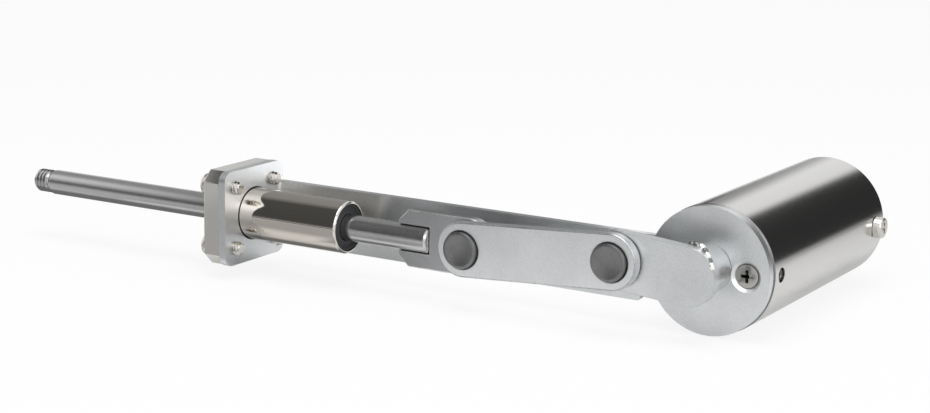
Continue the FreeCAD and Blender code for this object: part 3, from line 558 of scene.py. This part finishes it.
# %% Rear cap and grommet
CAP_EDGE = 0.3
LIP_R, NECK_R, CABLE_R = 4.5, 3.25, 2.0
shaft_x = (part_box("crank_hub")[0].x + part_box("crank_hub")[1].x) / 2 / MM
neck_front, lip_back = (side.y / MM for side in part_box("cable_grommet"))
cap_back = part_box("rear_cap")[1].y / MM
grommet_profile = [(neck_front, CABLE_R + 0.2), (neck_front, NECK_R), (cap_back, NECK_R),
                   (cap_back, LIP_R - 0.2), (cap_back + 0.25, LIP_R), (cap_back + 0.55, LIP_R - 0.1),
                   (lip_back, LIP_R - 0.75), (lip_back, CABLE_R + 0.45), (lip_back - 0.35, CABLE_R)]
piece_from(turned(grommet_profile, "Y", (shaft_x, 0, 0)), "cable_grommet_lipped", "base",
           ["grommet_rubber"], ["cable_grommet"])
softened("rear_cap", CAP_EDGE, "base")
print("cap back in mm:", round(cap_back, 2))

# %% [markdown]
# ## Threads
#
# A thread is a zigzag profile that moves one pitch along the axis during one turn, so spin is given a
# step along the axis as well. A screw modifier could wind it too, but the operator gives a mesh that can
# be cut at once. The profile is a little too long at both ends, and two cuts with a plane give the thread
# its true length. Its tip is then pressed in to a chamfer, and the last turns can fade into the plain
# shank, as they do where a die stops.

# %% Thread along +Z from the origin
THREAD_STEPS = 32
RUN_OUT, FADE_SPEED = 0.15, 1.6


def thread(length, root, crest, pitch, tip, fade=0.0):
    """A thread from z = 0 to z = length, in mm. Its chamfered tip is at the far end."""
    bm = bmesh.new()
    chain = []
    for turn_no in range(-2, math.ceil(length / pitch) + 1):
        base = turn_no * pitch
        for share, radius in ((0.0, root), (0.12, root), (0.42, crest), (0.62, crest), (0.92, root)):
            chain.append(bm.verts.new(Vector((radius, 0, base + share * pitch)) * MM))
    edges = [bm.edges.new(pair) for pair in zip(chain, chain[1:])]
    bmesh.ops.spin(bm, geom=chain + edges, axis=(0, 0, 1), cent=(0, 0, 0), angle=2 * math.pi,
                   steps=THREAD_STEPS, dvec=(0, 0, pitch * MM / THREAD_STEPS))
    bmesh.ops.remove_doubles(bm, verts=bm.verts, dist=0.002 * MM)
    for height, clear in ((0.0, "clear_inner"), (length, "clear_outer")):
        bmesh.ops.bisect_plane(bm, geom=bm.verts[:] + bm.edges[:] + bm.faces[:], dist=1e-9,
                               plane_co=(0, 0, height * MM), plane_no=(0, 0, 1), **{clear: True})
    for vert in bm.verts:
        radius = math.hypot(vert.co.x, vert.co.y) / MM
        height = vert.co.z / MM
        wanted = min(radius, crest - max(0.0, tip - (length - height)))
        if fade and height < fade:
            wanted += (crest - RUN_OUT - wanted) * min(1.0, FADE_SPEED * (1 - height / fade))
        vert.co.x *= wanted / radius
        vert.co.y *= wanted / radius
    bmesh.ops.holes_fill(bm, edges=[edge for edge in bm.edges if edge.is_boundary], sides=0)
    bmesh.ops.recalc_face_normals(bm, faces=bm.faces)
    return bm


print("steps in a thread's turn:", THREAD_STEPS)

# %% [markdown]
# ## Screws with a cross recess
#
# A head is a turned shape: a dome for the pan heads, and a cone for the countersunk ones in the round
# plate. The cross recess is cut with a boolean modifier, because the four wings leave a dome on curved
# lines that no single operator draws. The cutter is a tapered cross. The M3 thread's real pitch of half
# a millimetre would vanish in the picture, so it is drawn coarser.

# %% A cutter for the recess
RECESS_R, RECESS_DEPTH, RECESS_WIDTH = 1.85, 1.3, 0.78
RECESS_TAPER = (0.45, 0.7, 1.0)


def recess_cutter(top):
    """Two tapered bars, crossed, that reach down from a head's top."""
    bm = bmesh.new()
    for quarter in range(2):
        made = bmesh.ops.create_cube(bm, size=1.0)["verts"]
        bmesh.ops.scale(bm, verts=made, vec=Vector((2 * RECESS_R, RECESS_WIDTH, 2 * RECESS_DEPTH)) * MM)
        lower = [vert for vert in made if vert.co.z < 0]
        bmesh.ops.scale(bm, verts=lower, vec=RECESS_TAPER)
        bmesh.ops.rotate(bm, verts=made, cent=(0, 0, 0),
                         matrix=Matrix.Rotation(quarter * math.pi / 2, 3, "Z"))
    bmesh.ops.translate(bm, verts=bm.verts, vec=(0, 0, top * MM))
    return bm


print("recess across in mm:", 2 * RECESS_R)

# %% Heads along Z
HEAD_R, HEAD_H, HEAD_SIDE, DOME_STEPS = 2.8, 2.0, 1.0, 6
SHANK_R, SCREW_PITCH = 1.5, 0.75
SUNK_R, SUNK_H = 2.52, 1.3


def loose_object(bm, name):
    """An object that is no piece of the part: a blank, a cutter, a card or the floor."""
    mesh = bpy.data.meshes.new(name)
    bm.to_mesh(mesh)
    bm.free()
    made = bpy.data.objects.new(name, mesh)
    bpy.context.scene.collection.objects.link(made)
    return made


def cross_head(profile):
    """A mesh of a turned head along Z, with a cross recess in its top."""
    bm = turned(profile, "Y", steps=48)
    bmesh.ops.rotate(bm, verts=bm.verts, cent=(0, 0, 0), matrix=Matrix.Rotation(math.pi / 2, 3, "X"))
    head = loose_object(bm, "head_blank")
    cutter = loose_object(recess_cutter(profile[-1][0]), "recess_cutter")
    cut = head.modifiers.new("recess", "BOOLEAN")
    cut.operation, cut.object, cut.solver, cut.use_self = "DIFFERENCE", cutter, "EXACT", True
    bpy.context.view_layer.update()
    mesh = bpy.data.meshes.new_from_object(head.evaluated_get(bpy.context.evaluated_depsgraph_get()))
    for done in (head, cutter):
        bpy.data.objects.remove(done)
    return mesh


pan_profile = [(0.0, 0), (0.0, HEAD_R - 0.1), (0.1, HEAD_R), (HEAD_SIDE, HEAD_R - 0.1)]
for step in range(1, DOME_STEPS + 1):
    lean = math.radians(90 * step / DOME_STEPS)
    pan_profile.append((HEAD_SIDE + (HEAD_H - HEAD_SIDE) * math.sin(lean),
                        HEAD_R * (0.78 + 0.18 * math.cos(lean))))
pan_head = cross_head(pan_profile + [(HEAD_H, 0)])
sunk_head = cross_head([(0.0, 0), (0.0, SHANK_R), (0.85, 2.35), (1.1, SUNK_R), (1.2, SUNK_R),
                        (1.27, 2.45), (SUNK_H, 2.3), (SUNK_H, 0)])
print("faces of a pan head:", len(pan_head.polygons))

# %% [markdown]
# ## Place the screws
#
# Four screws hold the bush's flange, two the motor and two the tube's rear cap. Each screw is a head and
# a thread in one place, and screws of one kind form one piece. Nobody lines up cross recesses, so each
# head is turned further than the one before.

# %% Put heads and threads in place
FIRST_TURN, NEXT_TURN = 0.5, 1.1
THREAD_DEPTH, THREAD_TIP, THREAD_SHARP_DEG = 0.4, 0.45, 32.0


def screws(name, head, places, length, nodes, wide=1.0):
    """Screws of one length. Each place is the seat under the head and the way the head looks."""
    whole = bmesh.new()
    for index, (seat, outward) in enumerate(places):
        one = bmesh.new()
        one.from_mesh(head)
        bmesh.ops.scale(one, verts=one.verts, vec=(wide, wide, 1.0))
        bmesh.ops.rotate(one, verts=one.verts, cent=(0, 0, 0),
                         matrix=Matrix.Rotation(FIRST_TURN + index * NEXT_TURN, 3, "Z"))
        shank = thread(length, SHANK_R - THREAD_DEPTH, SHANK_R, SCREW_PITCH, THREAD_TIP)
        bmesh.ops.rotate(shank, verts=shank.verts, cent=(0, 0, 0), matrix=Matrix.Rotation(math.pi, 3, "X"))
        turn_to = Vector((0, 0, 1)).rotation_difference(Vector(outward)).to_matrix().to_4x4()
        place = Matrix.Translation(Vector(seat) * MM) @ turn_to
        for part in (one, shank):
            spare = bpy.data.meshes.new("spare")
            bmesh.ops.transform(part, verts=part.verts, matrix=place)
            part.to_mesh(spare)
            part.free()
            whole.from_mesh(spare)
            bpy.data.meshes.remove(spare)
    return piece_from(whole, name, "base", ["screw_nickel"], nodes, THREAD_SHARP_DEG, False)


bush_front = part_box("bearing_shell")[0].x / MM
screw_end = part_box("flange_screws")[1]
screw_at = screw_end.y / MM - HEAD_R
flange_places = [((bush_front, y, z), (-1, 0, 0))
                 for y in (-screw_at, screw_at) for z in (-screw_at, screw_at)]
screws("flange_screws_threaded", pan_head, flange_places, screw_end.x / MM - bush_front,
       ["flange_screws"])
print("screws from the rod's axis in mm:", round(screw_at, 2))

# %% Screws of the motor and the tube
TUBE_SCREW_LEN, TUBE_HEAD_WIDE = 4.0, 0.92
motor_low, motor_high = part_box("motor_screws")
seat_y = motor_low.y / MM + SUNK_H
motor_z = (motor_low.z + motor_high.z) / 2 / MM
motor_places = [((x, seat_y, motor_z), (0, -1, 0))
                for x in (motor_low.x / MM + HEAD_R, motor_high.x / MM - HEAD_R)]
plate_screws = screws("motor_screws_threaded", sunk_head, motor_places, motor_high.y / MM - seat_y,
                      ["motor_screws"])
# Nickel with painted shade: the same soft mirror, a step darker, for the shaded arm that the heads mirror.
plate_screws.data.materials[0] = metal("nickel_painted_shade", "a3a19d", "afada9", (0.14, 0.20), 0.3, 1.5)
rear_low, rear_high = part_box("tube_screws")
rear_y = (rear_low.y + rear_high.y) / 2 / MM
tube_places = [((shaft_x + side * TUBE_R, rear_y, 0), (side, 0, 0)) for side in (-1, 1)]
screws("tube_screws_threaded", pan_head, tube_places, TUBE_SCREW_LEN, ["tube_screws"], TUBE_HEAD_WIDE)
print("rear screws from the tube's front in mm:", round(rear_y - tube_front / MM, 2))

# %% [markdown]
# ## The push rod
#
# The rod is a ground bar with a short thread at its tip. The thread is cut with a pitch of about a
# millimetre and fades out just before the step up to the full rod. Bar and thread are made apart, as a
# spun profile and a thread like the screws', and then joined to one piece.

# %% Rod and thread in one piece
ROD_R, ROD_STEP, ROD_CHAMFER = 3.0, 0.3, 0.4
THREAD_R, ROOT_DEPTH, THREAD_LEN, ROD_PITCH = 2.8, 0.6, 5.4, 1.0
tip_x, end_x = (side.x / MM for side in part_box("push_rod"))
step_x = tip_x + THREAD_LEN
rod = turned([(step_x, 0), (step_x, ROD_R - ROD_STEP), (step_x + ROD_STEP, ROD_R),
              (end_x - ROD_CHAMFER, ROD_R), (end_x, ROD_R - ROD_CHAMFER), (end_x, 0)], "X")
tip = thread(THREAD_LEN, THREAD_R - ROOT_DEPTH, THREAD_R, ROD_PITCH, tip=0.8, fade=1.0)
bmesh.ops.rotate(tip, verts=tip.verts, cent=(0, 0, 0), matrix=Matrix.Rotation(-math.pi / 2, 3, "Y"))
bmesh.ops.translate(tip, verts=tip.verts, vec=(step_x * MM, 0, 0))
spare = bpy.data.meshes.new("spare")
tip.to_mesh(spare)
tip.free()
rod.from_mesh(spare)
bpy.data.meshes.remove(spare)
piece_from(rod, "push_rod_threaded", "push_rod", ["rod_steel"], ["push_rod"], THREAD_SHARP_DEG, False)
print("rod length in mm:", round(end_x - tip_x, 1))

# %% [markdown]
# ## Weld beads on the crank
#
# The arm is held to its hub by a short weld: a few dark lumps in the corner between the two, and three
# beads that ran over the arm's edge, painted almost white as a highlight. Each is a small ball, pulled a
# little out of round, because a weld has no exact shape and only its lumps catch the eye.

# %% Lumps and beads
# Weld beads with a painted highlight: almost white, with a soft gloss.
weld_highlight_look = metal("weld_bead_painted_highlight", "f2f2f0", "f8f8f6", (0.25, 0.32), 0.3, 1.5)
hub_low, hub_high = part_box("crank_hub")
shaft_z = (hub_low.z + hub_high.z) / 2 / MM
# Each row is degrees round the shaft, reach from it, depth behind the rod's axis, and radius.
LUMPS = ((104, 6.2, 1.6, 0.55), (95, 6.4, 1.7, 0.7), (85, 6.5, 1.8, 0.75), (62, 6.5, 0.8, 0.6),
         (41, 6.3, -0.3, 0.5))
BEADS = ((72, 6.5, 1.3, 0.9), (51, 6.45, -0.1, 0.75), (29, 6.1, -0.74, 0.8))
LUMP_STRETCH, LUMP_RIPPLE = (0.75, 0.9, 1.15), 0.06


def weld(name, rows, look):
    """Balls out of round, sunk into the corner that they hold together."""
    bm = bmesh.new()
    for angle_deg, reach, depth, size in rows:
        lean = math.radians(angle_deg)
        made = bmesh.ops.create_icosphere(bm, subdivisions=3, radius=size * MM)["verts"]
        bmesh.ops.scale(bm, verts=made, vec=LUMP_STRETCH)
        for vert in made:
            ripple = math.sin(vert.co.z / MM * 5.1) * math.cos(vert.co.x / MM * 4.3 + angle_deg)
            vert.co *= 1 + LUMP_RIPPLE * ripple
        bmesh.ops.rotate(bm, verts=made, cent=(0, 0, 0), matrix=Matrix.Rotation(-lean, 3, "Y"))
        bmesh.ops.translate(bm, verts=made, vec=Vector((
            shaft_x + reach * math.cos(lean), depth, shaft_z + reach * math.sin(lean))) * MM)
    piece = piece_from(bm, name, "crank", ["zinc_plated_steel"], weighted=False)
    piece.data.materials[0] = look
    print(name + ":", len(rows))


weld("weld_lumps", LUMPS, finish["pin_steel"])
weld("weld_beads", BEADS, weld_highlight_look)

# %% [markdown]
# ## White room and floor
#
# Polished metal shows its surroundings, so they are built like a studio's. The room is white to the eye
# and in mirrors, and dimmer as a lamp, so that it doesn't wash out the shadow. The floor is matt paper
# that partly glows, which keeps it white and still lets the part's shadow show.

# %% World
ROOM_LIGHT = 0.55
world = bpy.data.worlds.new("white_room")
bpy.context.scene.world = world
world.use_nodes = True
sky = world.node_tree
sky.nodes.clear()
path = add(sky, "ShaderNodeLightPath")
seen = add(sky, "ShaderNodeMath", {0: path.outputs["Is Camera Ray"], 1: path.outputs["Is Glossy Ray"]},
           operation="MAXIMUM").outputs[0]
seen = add(sky, "ShaderNodeMath", {0: seen, 1: path.outputs["Is Transmission Ray"]},
           operation="MAXIMUM").outputs[0]
level = add(sky, "ShaderNodeMapRange", {
    "Value": seen, "To Min": ROOM_LIGHT, "To Max": 1.0}).outputs["Result"]
glow = add(sky, "ShaderNodeBackground", {"Color": linear("ffffff"), "Strength": level})
add(sky, "ShaderNodeOutputWorld", {"Surface": glow.outputs["Background"]})
print("room as a lamp:", ROOM_LIGHT)

# %% Floor
FLOOR_GAP, FLOOR_HALF = 0.2 * MM, 6.0
GLOW_TO_EYE, GLOW_IN_MIRROR = 0.86, 0.35
FLOOR_Z = cad_low.z - FLOOR_GAP
ground = bmesh.new()
bmesh.ops.create_grid(ground, x_segments=1, y_segments=1, size=FLOOR_HALF)
bmesh.ops.translate(ground, verts=ground.verts, vec=(0, 0, FLOOR_Z))
floor = loose_object(ground, "floor")
# Matt paper: no sheen, only the part's soft shadow.
paper, tree = empty_material("white_paper")
rays = add(tree, "ShaderNodeLightPath")
to_eye = add(tree, "ShaderNodeMath", {0: rays.outputs["Is Camera Ray"], 1: GLOW_TO_EYE},
             operation="MULTIPLY").outputs[0]
in_mirror = add(tree, "ShaderNodeMath", {0: rays.outputs["Is Glossy Ray"], 1: GLOW_IN_MIRROR},
                operation="MULTIPLY").outputs[0]
share = add(tree, "ShaderNodeMath", {0: to_eye, 1: in_mirror}, operation="MAXIMUM").outputs[0]
matte = add(tree, "ShaderNodeBsdfDiffuse", {"Color": linear("f4f4f4")}).outputs["BSDF"]
white = add(tree, "ShaderNodeEmission", {"Color": linear("ffffff"), "Strength": 1.0}).outputs["Emission"]
mixed = add(tree, "ShaderNodeMixShader", {0: share, 1: matte, 2: white}).outputs["Shader"]
add(tree, "ShaderNodeOutputMaterial", {"Surface": mixed})
floor.data.materials.append(paper)
print("floor height in mm:", round(FLOOR_Z / MM, 2))

# %% [markdown]
# ## Flat dark cards
#
# A studio puts dark cards beside polished metal, because a white room alone would leave it without
# shape. One card stands behind the tube, and the others lie on the floor. The cards right under the rod,
# the sleeve and the tube are painted shadow: in mirrors they darken the floor under the part, as its own
# shadow would. Their paint fades to nothing at the edges, so that their mirror image in the metal is a
# soft band. Only mirrors see them: the camera doesn't, and they cast no shadow.

# %% A flat card with soft edges
def hang(made, material, tree, paint, edge):
    """Finish a card: its paint fades to nothing at its edge, and only mirrors see it."""
    clear = add(tree, "ShaderNodeBsdfTransparent").outputs["BSDF"]
    mixed = add(tree, "ShaderNodeMixShader", {0: edge, 1: paint, 2: clear}).outputs["Shader"]
    add(tree, "ShaderNodeOutputMaterial", {"Surface": mixed})
    made.data.materials.append(material)
    made.visible_camera = False
    made.visible_shadow = False
    made.visible_diffuse = False


def card(name, centre_mm, toward_mm, size_mm, soft_mm, dark):
    """A card that faces a point. Its edges fade, so that what is behind shows through."""
    bm = bmesh.new()
    bmesh.ops.create_grid(bm, x_segments=1, y_segments=1, size=0.5)
    made = loose_object(bm, name)
    centre = Vector(centre_mm) * MM
    look = (Vector(toward_mm) * MM - centre).to_track_quat("Z", "Y").to_matrix().to_4x4()
    width, height = (size * MM for size in size_mm)
    made.matrix_world = Matrix.Translation(centre) @ look @ Matrix.Diagonal((width, height, 1.0, 1.0))
    material, tree = empty_material(name + "_paint")
    split = add(tree, "ShaderNodeSeparateXYZ", {0: add(tree, "ShaderNodeTexCoord").outputs["Object"]})
    fades = []
    for side, size, soft in zip(("X", "Y"), size_mm, soft_mm):
        reach = add(tree, "ShaderNodeMath", {0: split.outputs[side]}, operation="ABSOLUTE").outputs[0]
        fades.append(add(tree, "ShaderNodeMapRange", {
            "Value": reach, "From Min": 0.5 - soft / size, "From Max": 0.5},
            interpolation_type="SMOOTHSTEP").outputs["Result"])
    edge = add(tree, "ShaderNodeMath", {0: fades[0], 1: fades[1]}, operation="MAXIMUM").outputs[0]
    paint = add(tree, "ShaderNodeEmission", {"Color": linear("ffffff"), "Strength": dark})
    hang(made, material, tree, paint.outputs["Emission"], edge)


TUBE_CARD = (900, 900)
card("tube_card", (500, 930, 250), (120, 40, 0), TUBE_CARD, (135, 135), 0.03)
print("tube card in mm:", *TUBE_CARD)

# %% Cards on the floor
FLOOR_CARDS = (
    # Each row is a name, X from and to, Y from and to, height, softness along X and Y, brightness.
    ("far_floor_card", -600, 40, -700, -120, 0.15, (40, 40), 0.18),
    ("rod_floor_card", -200, -45, -170, -3, 0.3, (15, 15), 0.62),
    ("disc_floor_card", -20, 95, -150, -75, 0.45, (20, 20), 0.6),
    ("sleeve_front_card", -62, 22, -170, -10, 0.6, (12, 12), 0.5),
    ("plate_floor_card", 10, 40, -52, -22, 0.9, (9, 9), 0.6),
    ("screw_floor_card", 84, 112, -60, -26, 0.9, (8, 8), 0.42),
    ("strip_floor_card", 12, 42, -30, -6, 0.75, (7, 6), 0.4),
    # The next three cards are painted shadow: the part's own shadow on the floor, as mirrors see it.
    ("rod_under_card", -95, -10, -12, 27, 0.9, (10, 6), 0.22),
    ("sleeve_under_card", -14, 40, -5, 9, 1.2, (8, 4), 0.2),
    ("tube_under_card", 98, 127, 30, 100, 0.5, (8, 25), 0.6),
    ("tube_floor_card", 60, 860, 40, 1280, 0.3, (90, 360), 0.03))
for name, left, right, near, far, lift, soft, dark in FLOOR_CARDS:
    middle = ((left + right) / 2, (near + far) / 2)
    above = (*middle, 100)
    card(name, (*middle, FLOOR_Z / MM + lift), above, (right - left, far - near), soft, dark)
print("floor cards:", len(FLOOR_CARDS))

# %% [markdown]
# ## Bent cards over the rod
#
# The light and dark bands on the rod, the sleeve and the upper edges of the sheets come from above and
# behind. Cards bent round the rod's axis draw them: each is a line, spun about the axis, and a colour
# ramp over the angle sets how bright it is from the back, over the top, to the front.

# %% A bent card
BEND_STEPS = 48


def bent_card(name, radius, ends_x, soft_mm, levels):
    """A card bent round the rod's axis. Levels are (degrees up from the back, brightness)."""
    start, stop = math.radians(levels[0][0]), math.radians(levels[-1][0])
    bm = bmesh.new()
    rim = Vector((0, math.cos(start), math.sin(start))) * radius
    ends = [bm.verts.new((rim + Vector((x, 0, 0))) * MM) for x in ends_x]
    bmesh.ops.spin(bm, geom=ends + [bm.edges.new(ends)], cent=(0, 0, 0), axis=(1, 0, 0),
                   angle=stop - start, steps=BEND_STEPS)
    made = loose_object(bm, name)
    material, tree = empty_material(name + "_paint")
    split = add(tree, "ShaderNodeSeparateXYZ", {0: add(tree, "ShaderNodeTexCoord").outputs["Object"]})
    angle = add(tree, "ShaderNodeMath", {0: split.outputs["Z"], 1: split.outputs["Y"]},
                operation="ARCTAN2").outputs[0]
    share = add(tree, "ShaderNodeMath", {0: angle, 1: math.pi}, operation="DIVIDE").outputs[0]
    ramp = add(tree, "ShaderNodeValToRGB", {"Fac": share})
    while len(ramp.color_ramp.elements) < len(levels):
        ramp.color_ramp.elements.new(1.0)
    for element, (degrees, level) in zip(ramp.color_ramp.elements, levels):
        element.position = degrees / 180
        element.color = (level, level, level, 1.0)
    fades = []
    for end_x, inward, soft in zip(ends_x, (1, -1), soft_mm):
        fades.append(add(tree, "ShaderNodeMapRange", {
            "Value": split.outputs["X"], "From Min": (end_x + inward * soft) * MM, "From Max": end_x * MM},
            interpolation_type="SMOOTHSTEP").outputs["Result"])
    edge = add(tree, "ShaderNodeMath", {0: fades[0], 1: fades[1]}, operation="MAXIMUM").outputs[0]
    paint = add(tree, "ShaderNodeEmission", {"Color": ramp.outputs["Color"], "Strength": 1.0})
    hang(made, material, tree, paint.outputs["Emission"], edge)


print("steps in a bent card:", BEND_STEPS)

# %% Bent cards
BENT_CARDS = (
    # Each row is a name, radius, X from and to, softness at both ends, and brightness by degrees.
    ("low_card", 690, (-500, -60), (12, 150), ((0, 0.35), (30, 0.35))),
    ("edge_card", 680, (-430, -210), (50, 30), ((0, 0.05), (26, 0.05))),
    ("middle_card", 700, (-582, -150), (25, 60), (
        (28, 0.35), (75, 0.33), (88, 0.2), (97, 0.09), (172, 0.08), (180, 0.15))),
    ("left_card", 720, (-1050, -480), (60, 30), (
        (0, 0.72), (28, 0.7), (40, 0.35), (65, 0.35), (85, 0.5), (108, 1.0), (128, 0.95), (147, 0.5),
        (160, 0.15), (172, 0.14), (180, 0.45))))
for row in BENT_CARDS:
    bent_card(*row)
print("bent cards:", len(BENT_CARDS))

# %% [markdown]
# ## Lamps
#
# A large soft lamp above and in front gives the main light, and a weaker one fills from the right. A
# tiny one behind the bush lifts the flange out of the strip's shade. Round area lamps are used, because
# their edges leave no corners in mirrors. The camera doesn't see them, and their strength is low enough
# for a colour to show as written.

# %% Soft lamps
def soft_lamp(name, place_mm, toward_mm, size_mm, watts):
    """A round lamp that looks at a point."""
    data = bpy.data.lights.new(name, "AREA")
    data.shape, data.size, data.energy = "DISK", size_mm * MM, watts
    lamp = bpy.data.objects.new(name, data)
    bpy.context.scene.collection.objects.link(lamp)
    look = (Vector(toward_mm) - Vector(place_mm)).to_track_quat("-Z", "Y").to_matrix().to_4x4()
    lamp.matrix_world = Matrix.Translation(Vector(place_mm) * MM) @ look
    lamp.visible_camera = False


LAMPS = (
    # Each row is a name, the lamp's place, the point it looks at, its size and its power.
    ("overhead_lamp", (150, -150, 900), (40, 0, 0), 700, 4.2),
    ("right_lamp", (700, -500, 400), (80, 0, 0), 500, 1.4),
    ("flange_lamp", (60, 75, 8), (0, 0, 6), 30, 0.007))
for row in LAMPS:
    soft_lamp(*row)
print("lamps:", len(LAMPS))

# %% [markdown]
#
# The picture uses the Standard view transform, so that a colour shows as written. The dressed
# part has to stay inside the CAD box.

# %% View transform
bpy.context.scene.view_settings.view_transform = "Standard"
bpy.context.view_layer.update()
